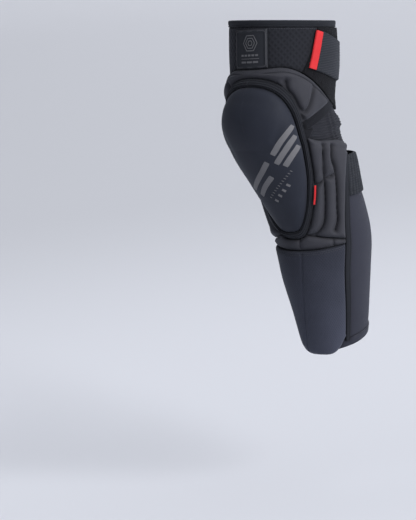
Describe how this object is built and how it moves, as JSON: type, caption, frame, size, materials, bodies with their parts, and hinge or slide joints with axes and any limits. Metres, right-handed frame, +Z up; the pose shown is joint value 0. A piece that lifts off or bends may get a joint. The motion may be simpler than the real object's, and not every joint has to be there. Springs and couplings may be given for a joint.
{
  "type": "knee guard",
  "caption": "Stretch sleeve that covers one leg from low thigh to shin, with a domed knee pad, ribbed foam sides, a long shin pad and two elastic straps.",
  "frame": {"origin": "middle of the knee, on the leg's own line, inside the tube", "axes": "+Z up the thigh, -Y to the front of the knee, +X to the outer side of a left leg"},
  "size_m": [0.1523, 0.2172, 0.474],
  "materials": {
    "cuff_knit": "matt ribbed knit over thin neoprene",
    "hem_tape": "matt elastic tape",
    "loop_plush": "brushed loop pile",
    "strap_webbing": "ribbed elastic webbing",
    "gusset_mesh": "matt pleated stretch mesh",
    "calf_stretch": "smooth stretch jersey",
    "moulded_foam": "moulded foam under a fine matt fabric",
    "cap_cover": "smooth matt stretch cover",
    "shin_fabric": "fine woven fabric over foam",
    "binding_tape": "folded binding tape",
    "badge_rubber": "satin moulded rubber",
    "label_red": "woven satin label, bare"
  },
  "bodies": {
    "root": {"thigh_cuff": "cuff_knit", "top_hem": "hem_tape", "knee_gusset": "gusset_mesh", "calf_sleeve": "calf_stretch", "calf_hem": "calf_stretch", "knee_cap": "cap_cover", "cap_rim": "binding_tape", "top_pad": "moulded_foam", "side_panel_outer": "moulded_foam", "side_panel_inner": "moulded_foam", "lower_band": "moulded_foam", "shin_pad": "shin_fabric", "edge_binding_outer": "binding_tape", "edge_binding_inner": "binding_tape", "loop_panel": "loop_plush", "upper_strap": "strap_webbing", "strap_label": "label_red", "badge": "badge_rubber", "side_label": "label_red", "calf_strap": "strap_webbing"}
  },
  "joints": []
}
